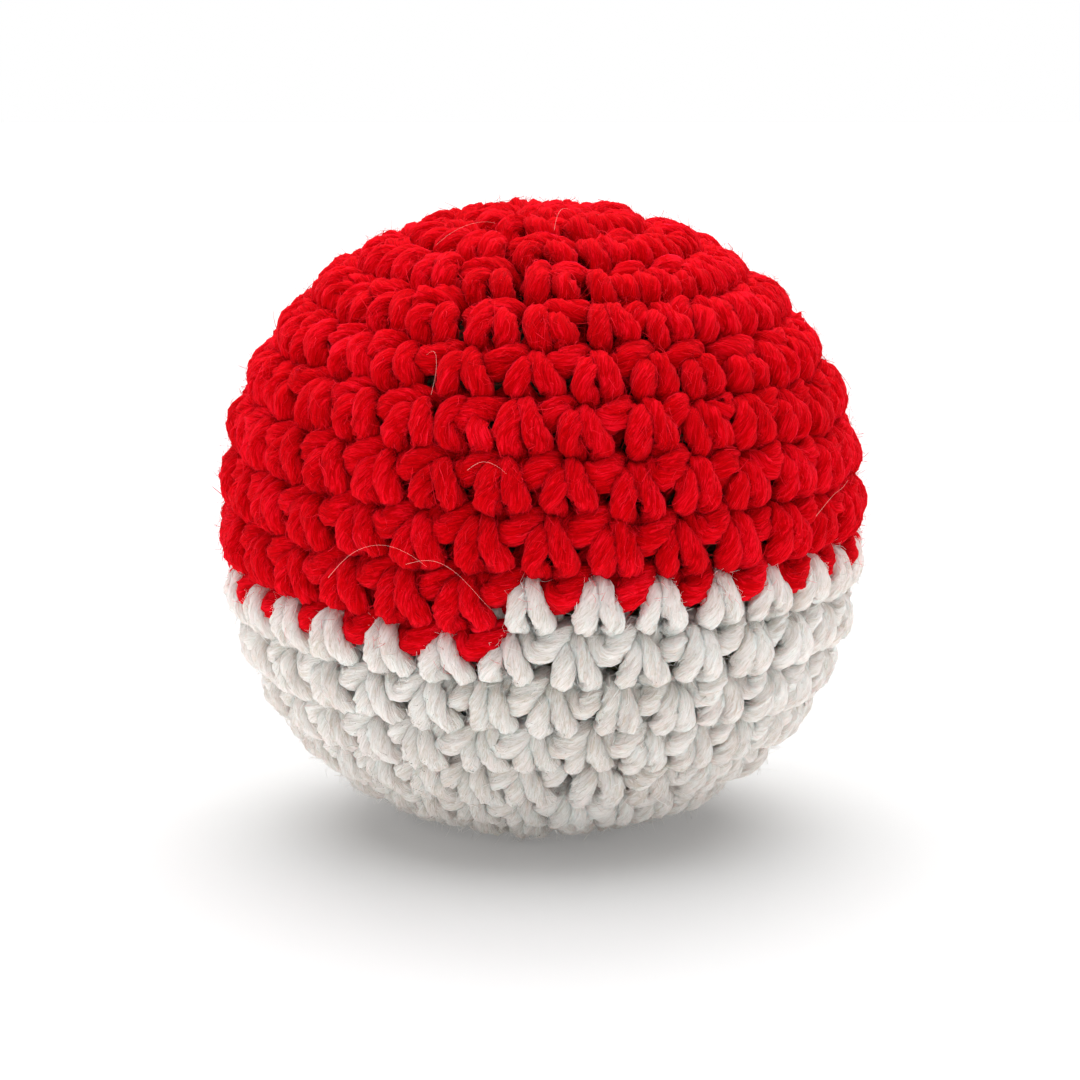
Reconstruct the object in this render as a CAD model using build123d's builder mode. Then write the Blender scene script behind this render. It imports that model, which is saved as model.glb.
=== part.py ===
from build123d import *
import os
from math import atan2, ceil, cos, degrees, radians, sin

# A crocheted juggling ball: two yarn covers, a tied liner bag and its pellets.
#
# The cover is single crochet, worked as one spiral from the red pole at the top down to the
# white pole at the bottom and drawn shut there. Red changes to white just below the middle, so
# the two covers meet along a sloping row of stitch points, with a step of one round where the
# change was made. Inside lies a stocking bag of plastic pellets, tied at its neck, and the ends
# of the yarn are woven into the cover's inner face. The origin is the centre of the flat patch
# that the ball rests on, +Z is up, and the colour change faces -Y. Millimetres throughout.

# The ball, over the tops of the stitches.
ball_width = 65.0
ball_height = 62.2
widest_height = 30.4  # of the widest round, above the ground
rest_radius = 11.0  # of the flat patch that the ball rests on
squareness = 2.2  # 2 is a true ellipse, and more is squarer at the shoulders

# The crochet fabric, and the liner's weight presses it thinner under the ball.
wall = 4.8
floor_wall = 3.8

# The colour change, at the front, a little to the left of the middle.
stitches = 30  # in a round
round_depth = 5.8
change_angle = -100.0  # round from +X
first_point_height = 30.9  # of the first white stitch's point
point_depth = 3.2  # from a stitch's point down to the notch beside it

# The ends of the yarn, woven into the wall, and the knot where the colours change.
yarn = 2.0
yarn_clearance = 0.1
yarn_proud = 0.3  # how far a woven end stands out of the wall's inner face
side_tail_arc = 52.0
side_tail_spacing = 2.5  # between the red end and the white end, in height
knot_height = 27.05
knot_deep = 2.4
knot_tall = 5.0
knot_arc = 6.5
closing_tail_drift = 9.0  # how far the closing end runs level before it climbs in the wall
start_tail_reach = 9.0  # of the first loops' end, coiled under the top of the cover

# The liner bag, its gathered neck and the thread round it.
liner_wall = 0.5
liner_gap = 0.6
neck_radius = 2.2
neck_height = 2.6
frill_radius = 5.2
frill_wall = 0.6
frill_gap = 0.4  # between the frill and the coiled end above it
thread = 0.6
thread_turns = 4
thread_clearance = 0.05

# The pellets.
pellet_width = 4.8
pellet_length = 4.4
pellet_gap = 0.2  # at least, between one and the next and from the bag
pellet_tilt = 7.0

profile_steps = 8  # points on a quarter of an outline
cutter_reach = 6.0  # how far a cutting shape runs past what it cuts

half_width = ball_width / 2
top_rise = ball_height - widest_height
rest_share = (1 - (rest_radius / half_width) ** squareness) ** (1 / squareness)

# The coiled end hangs this far below the top of the cavity, and the bag's neck stands under it.
coil_drop = yarn + 2 * yarn_clearance
coil_sag = yarn / 2
headroom = coil_drop + coil_sag + frill_gap + frill_wall + neck_height

# Each body of revolution is its half width, and its rise and drop from the widest height.
outside = (half_width, top_rise, widest_height / rest_share)
cavity = (half_width - wall, top_rise - wall, widest_height - floor_wall)
liner_outside = (cavity[0] - liner_gap, cavity[1] - headroom, cavity[2] - liner_gap)
liner_inside = tuple(size - liner_wall for size in liner_outside)


def radius_at(body, height):
    """The radius of a body of revolution at a height, or 0 past its poles."""
    half, rise, drop = body
    reach = rise if height > widest_height else drop
    share = abs(height - widest_height) / reach
    return half * max(1 - share**squareness, 0) ** (1 / squareness)


def height_at(body, radius, side):
    """The height of a body's surface at a radius, on its top, 1, or its bottom, -1."""
    half, rise, drop = body
    share = (1 - (radius / half) ** squareness) ** (1 / squareness)
    return widest_height + (rise * share if side > 0 else -drop * share)


def quarter_point(half, reach, angle):
    """A point of a quarter outline, seen at an angle from 0 at the widest place to 90 at the pole."""
    across, along = cos(radians(angle)), sin(radians(angle))
    scale = (across**squareness + along**squareness) ** (-1 / squareness)
    return half * across * scale, reach * along * scale


def half_section(body, foot=0):
    """The half section of a body of revolution, cut flat below where its radius is foot."""
    half, rise, drop = body
    share = foot / half
    rest = (1 - share**squareness) ** (1 / squareness)
    foot_angle = degrees(atan2(rest, share))
    points = []
    for step in range(profile_steps, 0, -1):
        across, along = quarter_point(half, drop, foot_angle * step / profile_steps)
        points.append((across, widest_height - along))
    for step in range(profile_steps):
        across, along = quarter_point(half, rise, 90 * step / profile_steps)
        points.append((across, widest_height + along))
    top, low = (0, widest_height + rise), points[0][1]
    slope = drop / half * (share / rest) ** (squareness - 1)
    with BuildSketch() as section:
        with BuildLine():
            Spline(*points, top, tangents=[(1, slope), (-1, 0)], tangent_scalars=[1, 1])
            if foot > 0:
                Polyline(top, (0, low), (foot, low))
            else:
                Line(top, (0, low))
        make_face()
    return section.sketch


def radial_plane(angle):
    """The upright plane through the middle, with local X outward at an angle and local Y up."""
    outward = (cos(radians(angle)), sin(radians(angle)), 0)
    return Plane(origin=(0, 0, 0), x_dir=outward, z_dir=(outward[1], -outward[0], 0))


# ---------------------------------------------------------------- the ends of the yarn

woven_radius = cavity[0] + yarn / 2 - yarn_proud
forwards = Axis((0, 0, 0), (0, 0, 1))
backwards = Axis((0, 0, 0), (0, 0, -1))
side_tails = {
    "red": (knot_height + side_tail_spacing / 2, change_angle - knot_arc / 2, backwards),
    "white": (knot_height - side_tail_spacing / 2, change_angle + knot_arc / 2, forwards),
}

with BuildPart() as red_end_tail:
    height, begin, turning = side_tails["red"]
    with BuildSketch(radial_plane(begin)):
        with Locations((woven_radius, height)):
            Circle(yarn / 2)
    revolve(axis=turning, revolution_arc=side_tail_arc)

with BuildPart() as white_start_tail:
    height, begin, turning = side_tails["white"]
    with BuildSketch(radial_plane(begin)):
        with Locations((woven_radius, height)):
            Circle(yarn / 2)
    revolve(axis=turning, revolution_arc=side_tail_arc)

knot_middle = cavity[0] + knot_deep / 2 - yarn_proud
with BuildPart() as colour_knot:
    with BuildSketch(radial_plane(change_angle - knot_arc / 2)):
        with Locations((knot_middle, knot_height)):
            RectangleRounded(knot_deep, knot_tall, knot_deep * 0.45)
    revolve(axis=forwards, revolution_arc=knot_arc)

# The closing end runs out level from the bottom pole and then climbs inside the wall.
closing_level = floor_wall - yarn / 2 + yarn_proud


def wall_middle(radius):
    """The height halfway through the wall's lower part at a radius."""
    return (height_at(outside, radius, -1) + height_at(cavity, radius, -1)) / 2


closing_radii = [cavity[0] * share for share in (0.69, 0.87)]
closing_route = [
    (-yarn, closing_level),
    (closing_tail_drift, closing_level * 0.93),
    *((radius, wall_middle(radius)) for radius in closing_radii),
]
closing_bends = [closing_tail_drift, closing_tail_drift]

with BuildPart() as closing_tail:
    with BuildLine(Plane.XZ) as closing_line:
        FilletPolyline(*closing_route, radius=closing_bends)
    with BuildSketch(closing_line.line ^ 0):
        Circle(yarn / 2)
    sweep(path=closing_line.line)

# The end of the first loops drops from the top pole and coils just under the fabric.
coil_level = widest_height + cavity[1] - coil_drop + yarn / 2
start_route = [
    (0, 0, coil_level + yarn * 1.5),
    (0, 0, coil_level - coil_sag * 0.8),
    (start_tail_reach * 0.75, -start_tail_reach * 0.3, coil_level - coil_sag * 0.8),
    (start_tail_reach * 1.1, start_tail_reach * 0.5, coil_level - coil_sag),
    (start_tail_reach * 0.3, start_tail_reach * 1.0, coil_level - coil_sag),
    (-start_tail_reach * 0.6, start_tail_reach * 0.6, coil_level - coil_sag * 0.8),
]
start_bends = [yarn * 0.75, start_tail_reach * 0.33, start_tail_reach * 0.33, start_tail_reach * 0.4]

with BuildPart() as start_tail:
    with BuildLine() as start_line:
        FilletPolyline(*start_route, radius=start_bends)
    with BuildSketch(start_line.line ^ 0):
        Circle(yarn / 2)
    sweep(path=start_line.line)

# The room that the ends and the knot take in the wall.
bed_radius = yarn / 2 + yarn_clearance
bed_arc = side_tail_arc + degrees(yarn_clearance / woven_radius)
with BuildPart() as yarn_beds:
    for height, begin, turning in side_tails.values():
        with BuildSketch(radial_plane(begin)):
            with Locations((woven_radius, height)):
                Circle(bed_radius)
        revolve(axis=turning, revolution_arc=bed_arc)
    knot_bed_arc = knot_arc + 2 * degrees(yarn_clearance / cavity[0])
    with BuildSketch(radial_plane(change_angle - knot_bed_arc / 2)):
        with Locations((knot_middle, knot_height)):
            knot_bed = (knot_deep + 2 * yarn_clearance, knot_tall + 2 * yarn_clearance)
            RectangleRounded(*knot_bed, knot_bed[0] * 0.45)
    revolve(axis=forwards, revolution_arc=knot_bed_arc)
    for line in (closing_line.line, start_line.line):
        with BuildSketch(line ^ 0):
            Circle(bed_radius)
        sweep(path=line)

# ---------------------------------------------------------------- the two covers

# Everything below the colour change, as far as the wall reaches: a band with stitch points
# along its top, made in two half turns so that its ends can step past each other.
band_inner = cavity[0] / 2
band_outer = half_width + cutter_reach
half_stitch = 180 / stitches


def band_section(step):
    """The band's section plane and height, at a half stitch counted from the colour change."""
    fall = round_depth * step / (2 * stitches)
    notch = 0 if step % 2 else point_depth
    return radial_plane(change_angle + half_stitch * step), first_point_height - fall - notch


with BuildPart() as white_zone:
    for first in (0, stitches):
        for step in range(first, first + stitches + 1):
            plane, top = band_section(step)
            with BuildSketch(plane):
                with Locations(((band_inner + band_outer) / 2, (top - cutter_reach) / 2)):
                    Rectangle(band_outer - band_inner, top + cutter_reach)
        loft(ruled=True)
    with BuildSketch(Plane.XY.offset(-cutter_reach)):
        Circle(band_inner + cutter_reach / 2)
    extrude(amount=cutter_reach + widest_height / 2)

with BuildPart() as red_cover:
    with BuildSketch(Plane.XZ):
        add(half_section(outside, rest_radius))
    revolve(axis=Axis.Z)
    with BuildSketch(Plane.XZ):
        add(half_section(cavity))
    revolve(axis=Axis.Z, mode=Mode.SUBTRACT)
    add(yarn_beds.part, mode=Mode.SUBTRACT)
    whole_cover = red_cover.part
    add(white_zone.part, mode=Mode.SUBTRACT)

with BuildPart() as white_cover:
    add(whole_cover)
    add(white_zone.part, mode=Mode.INTERSECT)

# ---------------------------------------------------------------- the liner bag and its tie

liner_top = widest_height + liner_outside[1]
neck_top = liner_top + neck_height
thread_pitch = thread * 0.85  # each turn beds a little into the one below
groove_height = thread + thread_pitch * (thread_turns - 1) + 2 * thread_clearance
groove_middle = liner_top + neck_height / 2

with BuildPart() as liner_bag:
    with BuildSketch(Plane.XZ):
        add(half_section(liner_outside))
        with BuildLine():
            Polyline(
                (0, liner_top - neck_height),
                (neck_radius * 2.4, liner_top - neck_height / 2),
                (neck_radius, groove_middle - groove_height / 2),
                (neck_radius, groove_middle + groove_height / 2),
                (frill_radius, neck_top),
                (frill_radius, neck_top + frill_wall),
                (0, neck_top + frill_wall),
                close=True,
            )
        make_face()
    revolve(axis=Axis.Z)
    with BuildSketch(Plane.XZ):
        add(half_section(liner_inside))
    revolve(axis=Axis.Z, mode=Mode.SUBTRACT)

with BuildPart() as neck_thread:
    first_turn = groove_middle - thread_pitch * (thread_turns - 1) / 2
    turn_places = [
        (neck_radius + thread_clearance + thread / 2, first_turn + thread_pitch * turn)
        for turn in range(thread_turns)
    ]
    with BuildSketch(Plane.XZ):
        with Locations(*turn_places):
            Circle(thread / 2)
    revolve(axis=Axis.Z)

# ---------------------------------------------------------------- the pellets

tilted_reach = pellet_width / 2 * cos(radians(pellet_tilt)) + pellet_length / 2 * sin(radians(pellet_tilt))
pellet_pitch = 2 * tilted_reach + pellet_gap
pellet_corner = (pellet_width**2 + pellet_length**2) ** 0.5 / 2
pellet_zone = tuple(size - pellet_corner - pellet_gap for size in liner_inside)
pellet_turns = [
    (pellet_tilt, -pellet_tilt, 0),
    (90 + pellet_tilt, pellet_tilt, 0),
    (pellet_tilt, 90 - pellet_tilt, 0),
]
grid_half = ceil(half_width / pellet_pitch)
pellet_places = []
for layer in range(2 * grid_half):
    level = widest_height - pellet_zone[2] + pellet_pitch * (layer + 0.1)
    shift = pellet_pitch / 2 * (layer % 2)
    for row in range(-grid_half, grid_half + 1):
        for column in range(-grid_half, grid_half + 1):
            across, along = pellet_pitch * column + shift, pellet_pitch * row + shift
            if (across**2 + along**2) ** 0.5 < radius_at(pellet_zone, level):
                turn = pellet_turns[(layer + row + column) % len(pellet_turns)]
                pellet_places.append(Location((across, along, level), turn))

with BuildPart() as pellets:
    with Locations(*pellet_places):
        Cylinder(pellet_width / 2, pellet_length)

# ---------------------------------------------------------------- the pieces, written out

pieces = {
    "red_cover": red_cover,
    "white_cover": white_cover,
    "red_start_tail": start_tail,
    "red_end_tail": red_end_tail,
    "white_start_tail": white_start_tail,
    "white_closing_tail": closing_tail,
    "colour_knot": colour_knot,
    "liner_bag": liner_bag,
    "neck_thread": neck_thread,
    "pellets": pellets,
}
os.makedirs("parts", exist_ok=True)
for name, piece in pieces.items():
    piece.part.label = name
    export_step(piece.part, f"parts/{name}.step")

print("pellets", len(pellet_places))
print("bends of the closing end", closing_bends, "and of the first end", start_bends)
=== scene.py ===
"""A crocheted juggling ball, half red and half off-white, made of its real yarn.

The cover is one yarn in single crochet, worked as a spiral from the red pole down to the white
pole. Each stitch is the same route of one continuous thread: up through the hole, down the left
leg, round the neck, back up the right leg, and over into the loop that the next stitch closes.
The routes are laid round the ball's surface, which comes from the CAD frame, and are swept as
plied yarn. Loose fibres stand off it. Inside lie the liner bag, its thread and its pellets.
"""

import logging
import math
from dataclasses import dataclass, field
from enum import Enum
from typing import Iterator, Sequence

import bmesh
import bpy
import numpy as np
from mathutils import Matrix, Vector, noise
from mathutils.kdtree import KDTree


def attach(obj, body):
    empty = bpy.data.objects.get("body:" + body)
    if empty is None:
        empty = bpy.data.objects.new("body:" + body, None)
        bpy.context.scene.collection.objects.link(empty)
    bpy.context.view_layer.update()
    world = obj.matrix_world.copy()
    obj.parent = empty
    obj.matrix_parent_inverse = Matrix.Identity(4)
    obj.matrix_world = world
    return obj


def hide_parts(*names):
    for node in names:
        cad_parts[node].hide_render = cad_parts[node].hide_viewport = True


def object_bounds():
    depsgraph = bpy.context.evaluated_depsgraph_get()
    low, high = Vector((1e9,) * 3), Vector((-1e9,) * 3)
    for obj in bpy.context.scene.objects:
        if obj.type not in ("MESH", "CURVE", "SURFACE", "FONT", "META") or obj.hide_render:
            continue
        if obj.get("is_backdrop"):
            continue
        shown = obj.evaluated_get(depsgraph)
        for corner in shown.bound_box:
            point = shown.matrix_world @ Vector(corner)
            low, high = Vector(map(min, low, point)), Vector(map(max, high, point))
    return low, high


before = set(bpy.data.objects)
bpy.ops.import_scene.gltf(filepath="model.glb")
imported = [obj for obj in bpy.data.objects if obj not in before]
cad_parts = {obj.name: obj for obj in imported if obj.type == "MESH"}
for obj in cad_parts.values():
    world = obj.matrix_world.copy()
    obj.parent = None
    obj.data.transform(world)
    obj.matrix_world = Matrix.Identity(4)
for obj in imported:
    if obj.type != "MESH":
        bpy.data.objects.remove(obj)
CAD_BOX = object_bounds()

log = logging.getLogger("juggling_ball")
logging.basicConfig(level=logging.INFO, format="%(name)s: %(message)s")

BODY = "root"
MM = 0.001
BAKE_MAP = "OFBake"
FIBRE_MAP = "fibre"
MIX_FIRST, MIX_SECOND = 6, 7  # a colour mix's two colours, which Blender tells apart by number


class Colour(Enum):
    """The two colours of yarn, by the name that their pieces start with."""

    RED = "red"
    WHITE = "white"


# ------------------------------------------------------------------ colours and nodes


def linear(hex_colour: str) -> tuple[float, float, float, float]:
    """Turn an sRGB hex colour into Blender's linear RGBA.

    Args:
        hex_colour: Six hex digits, with or without a leading hash.

    Returns:
        Red, green, blue and alpha, each from 0 to 1.
    """
    digits = hex_colour.lstrip("#")
    channels = [int(digits[i : i + 2], 16) / 255 for i in (0, 2, 4)]
    straight = [c / 12.92 if c <= 0.04045 else ((c + 0.055) / 1.055) ** 2.4 for c in channels]
    return (*straight, 1.0)


def add_node(
    tree: bpy.types.NodeTree,
    kind: str,
    settings: dict | None = None,
    values: dict | None = None,
    links: dict | None = None,
) -> bpy.types.Node:
    """Add a shader node with its settings, socket values and incoming links.

    Args:
        tree: The material's node tree.
        kind: The node's type name.
        settings: Attributes of the node itself.
        values: Default values of its inputs, by name or number.
        links: Output sockets to link into its inputs, by name or number.

    Returns:
        The new node.
    """
    node = tree.nodes.new(kind)
    for name, value in (settings or {}).items():
        setattr(node, name, value)
    for name, value in (values or {}).items():
        node.inputs[name].default_value = value
    for name, socket in (links or {}).items():
        tree.links.new(socket, node.inputs[name])
    return node


def new_material(name: str) -> tuple[bpy.types.Material, bpy.types.NodeTree]:
    """Make an empty node material.

    Args:
        name: The material's name.

    Returns:
        The material and its cleared node tree.
    """
    material = bpy.data.materials.new(name)
    material.use_nodes = True
    material.node_tree.nodes.clear()
    return material, material.node_tree


def add_noise(
    tree: bpy.types.NodeTree, place: bpy.types.NodeSocket, size: float, values: dict
) -> bpy.types.NodeSocket:
    """Add noise whose patches have a given size.

    Args:
        tree: The material's node tree.
        place: The place that it follows.
        size: The size of a patch, in the unit of that place.
        values: Default values of its other inputs, by name.

    Returns:
        Its strength, from 0 to 1.
    """
    patches = add_node(
        tree, "ShaderNodeTexNoise", values={"Scale": 1 / size, **values}, links={"Vector": place}
    )
    return patches.outputs["Fac"]


def add_bump(
    tree: bpy.types.NodeTree, height: bpy.types.NodeSocket, strength: float, distance_mm: float
) -> bpy.types.NodeSocket:
    """Let a height tilt the surface's normal.

    Args:
        tree: The material's node tree.
        height: The height, from 0 to 1.
        strength: How strongly it shows, from 0 to 1.
        distance_mm: What a height of 1 stands for, in millimetres.

    Returns:
        The tilted normal.
    """
    values = {"Strength": strength, "Distance": distance_mm * MM}
    return add_node(tree, "ShaderNodeBump", values=values, links={"Height": height}).outputs[0]


def two_tone(
    tree: bpy.types.NodeTree, factor: bpy.types.NodeSocket, low: str, high: str
) -> bpy.types.NodeSocket:
    """Fade from one colour to another.

    Args:
        tree: The material's node tree.
        factor: What the fade follows, from 0 to 1.
        low: The colour at 0, in hex.
        high: The colour at 1, in hex.

    Returns:
        The faded colour.
    """
    ramp = add_node(tree, "ShaderNodeValToRGB", links={"Fac": factor})
    stops = ramp.color_ramp.elements
    stops[0].color, stops[1].color = linear(low), linear(high)
    return ramp.outputs["Color"]


def finish_surface(tree: bpy.types.NodeTree, values: dict, links: dict) -> None:
    """Shade a surface and end its node tree.

    Args:
        tree: The material's node tree.
        values: Default values of the shader's inputs, by name.
        links: Output sockets to link into its inputs, by name.
    """
    shader = add_node(tree, "ShaderNodeBsdfPrincipled", values=values, links=links)
    add_node(tree, "ShaderNodeOutputMaterial", links={"Surface": shader.outputs[0]})


# ------------------------------------------------------------------ finishes


@dataclass(frozen=True)
class YarnFinish:
    """Soft acrylic worsted yarn: matt, a little see-through at its edges, with streaky fibres.

    The fibre streaks run along the plies, so they read the piece's own fibre map, whose unit is
    a millimetre. Their light and dark colours are partly the yarn's own random tone and partly painted
    highlight on the bundles that the streaks bump up, with painted shade between them. The bleed
    attribute is where fluff of the other colour has caught.
    """

    name: str
    body: str
    # light and dark: the streak colours, partly painted highlight and painted shade
    light: str
    dark: str
    caught: str
    edge: str
    sheen: float = 0.28
    glow: float = 0.32
    fibre_mm: float = 0.16  # the width of a streak: a bundle of fibres, since one is too fine to show
    patch_mm: float = 7.0  # the size of the slow changes of tone
    patch_share: float = 0.25  # of those in the tone, beside the streaks

    def material(self) -> bpy.types.Material:
        """Build the yarn's material, and return it."""
        material, tree = new_material(self.name)
        fibres = add_node(tree, "ShaderNodeUVMap", {"uv_map": FIBRE_MAP})
        stretched = add_node(
            tree,
            "ShaderNodeMapping",
            values={"Scale": (0.28, 1.0, 1.0)},
            links={"Vector": fibres.outputs[0]},
        )
        streaks = add_noise(
            tree,
            stretched.outputs[0],
            self.fibre_mm * 2,
            {"Detail": 3.0, "Roughness": 0.6, "Distortion": 1.6},
        )
        place = add_node(tree, "ShaderNodeTexCoord")
        patches = add_noise(tree, place.outputs["Object"], self.patch_mm * MM, {"Detail": 2.0})
        patch_part = add_node(
            tree,
            "ShaderNodeMath",
            {"operation": "MULTIPLY"},
            values={1: self.patch_share},
            links={0: patches},
        )
        tone = add_node(
            tree,
            "ShaderNodeMath",
            {"operation": "MULTIPLY_ADD"},
            values={1: 1 - self.patch_share},
            links={0: streaks, 2: patch_part.outputs[0]},
        )
        # The light stop is partly painted highlight on the raised streaks, the dark stop partly painted
        # shade between them.
        ramp = add_node(tree, "ShaderNodeValToRGB", links={"Fac": tone.outputs[0]})
        stops = ramp.color_ramp.elements
        stops[0].position, stops[0].color = 0.3, linear(self.dark)
        stops[1].position, stops[1].color = 0.7, linear(self.light)
        middle = stops.new(0.5)
        middle.color = linear(self.body)
        bleed = add_node(tree, "ShaderNodeAttribute", {"attribute_name": "bleed"})
        mixed = add_node(
            tree,
            "ShaderNodeMix",
            {"data_type": "RGBA"},
            values={MIX_SECOND: linear(self.caught)},
            links={0: bleed.outputs["Fac"], MIX_FIRST: ramp.outputs["Color"]},
        )
        finish_surface(
            tree,
            values={
                "Roughness": 0.95,
                "Sheen Weight": self.sheen,
                "Sheen Roughness": 0.5,
                "Sheen Tint": linear(self.edge),
                "Subsurface Weight": self.glow,
                "Subsurface Radius": (1.0, 0.35, 0.3),
                "Subsurface Scale": 1.4 * MM,
                "Specular IOR Level": 0.02,
            },
            links={"Base Color": mixed.outputs[2], "Normal": add_bump(tree, streaks, 0.7, 0.28)},
        )
        return material


@dataclass(frozen=True)
class FibreFinish:
    """Single loose acrylic fibres in a random tone from deep to pale; the pale end is partly painted
    highlight, for the light that such thin fibres let through and catch.
    """

    name: str
    # pale: partly painted highlight, standing in for the light that thin fibres catch
    pale: str
    deep: str

    def material(self) -> bpy.types.Material:
        """Build the fibres' material, and return it."""
        material, tree = new_material(self.name)
        tone = add_node(tree, "ShaderNodeAttribute", {"attribute_name": "tone"})
        # the pale end of the random tone is partly painted highlight
        colour = two_tone(tree, tone.outputs["Fac"], self.deep, self.pale)
        finish_surface(
            tree, values={"Roughness": 0.8, "Specular IOR Level": 0.08}, links={"Base Color": colour}
        )
        return material


@dataclass(frozen=True)
class KnitFinish:
    """Fine stocking knit: a dull, dark cloth with a close rib of loops about half a millimetre wide."""

    name: str
    body: str
    dark: str
    rib_mm: float = 0.5

    def material(self) -> bpy.types.Material:
        """Build the cloth's material, and return it."""
        material, tree = new_material(self.name)
        place = add_node(tree, "ShaderNodeTexCoord")
        ribs = add_node(
            tree,
            "ShaderNodeTexWave",
            {"bands_direction": "Z"},
            values={"Scale": math.pi / (10 * self.rib_mm * MM), "Distortion": 1.5, "Detail": 2.0},
            links={"Vector": place.outputs["Object"]},
        )
        colour = two_tone(tree, ribs.outputs["Fac"], self.dark, self.body)
        finish_surface(
            tree,
            values={"Roughness": 0.8, "Sheen Weight": 0.2, "Sheen Roughness": 0.5},
            links={"Base Color": colour, "Normal": add_bump(tree, ribs.outputs["Fac"], 0.5, 0.1)},
        )
        return material


@dataclass(frozen=True)
class MouldedFinish:
    """Moulded polypropylene: pale, slightly waxy, with a faint grain from the cutter."""

    name: str
    body: str
    shade: str
    grain_mm: float = 1.2

    def material(self) -> bpy.types.Material:
        """Build the plastic's material, and return it."""
        material, tree = new_material(self.name)
        place = add_node(tree, "ShaderNodeTexCoord")
        grain = add_noise(tree, place.outputs["Object"], self.grain_mm * MM, {"Detail": 4.0})
        colour = two_tone(tree, grain, self.shade, self.body)
        finish_surface(
            tree,
            values={"Roughness": 0.42, "IOR": 1.49},
            links={"Base Color": colour, "Normal": add_bump(tree, grain, 0.2, 0.1)},
        )
        return material


# The yarns' light and dark streak colours are partly painted highlight and painted shade.
RED_YARN = YarnFinish(
    "red_acrylic_yarn", body="cb0108", light="fb132b", dark="980105", caught="f3d6d4", edge="ff3c4e"
)
WHITE_YARN = YarnFinish(
    "off_white_acrylic_yarn", body="e3ded9", light="f3f0ec", dark="c6bcac", caught="e0808a", edge="ffffff"
)
# The fibres' pale colours are partly painted highlight; the tone between deep and pale is random.
RED_FIBRE = FibreFinish("loose_red_acrylic_fibre", pale="fb2036", deep="d0030c")
WHITE_FIBRE = FibreFinish("loose_off_white_acrylic_fibre", pale="fffdfa", deep="d8d2cc")
STRAY_FIBRE = FibreFinish("stray_pale_hair", pale="ffd2c8", deep="f0968a")
LINER_CLOTH = KnitFinish("olive_stocking_knit", body="94885c", dark="5f5638")
TIE_THREAD = KnitFinish("spun_polyester_thread", body="8a8266", dark="5b5540", rib_mm=0.15)
PELLET_PLASTIC = MouldedFinish("moulded_polypropylene", body="e6e5df", shade="c9c8c0")


# ------------------------------------------------------------------ the ball's surface


def unit(vectors: np.ndarray) -> np.ndarray:
    """Scale vectors, whose parts lie along the last axis, to a length of 1."""
    return vectors / (np.linalg.norm(vectors, axis=-1, keepdims=True) + 1e-12)


def squared_circle(turn: np.ndarray, squareness: float) -> tuple[np.ndarray, np.ndarray]:
    """Points of a circle with a radius of 1 that is pushed out a little towards a square.

    Args:
        turn: Angles, in radians.
        squareness: 2 for a circle, and more for a squarer one.

    Returns:
        Their places across and along.
    """
    across, along = np.cos(turn), np.sin(turn)
    scale = (np.abs(across) ** squareness + np.abs(along) ** squareness) ** (-1 / squareness)
    return across * scale, along * scale


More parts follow.
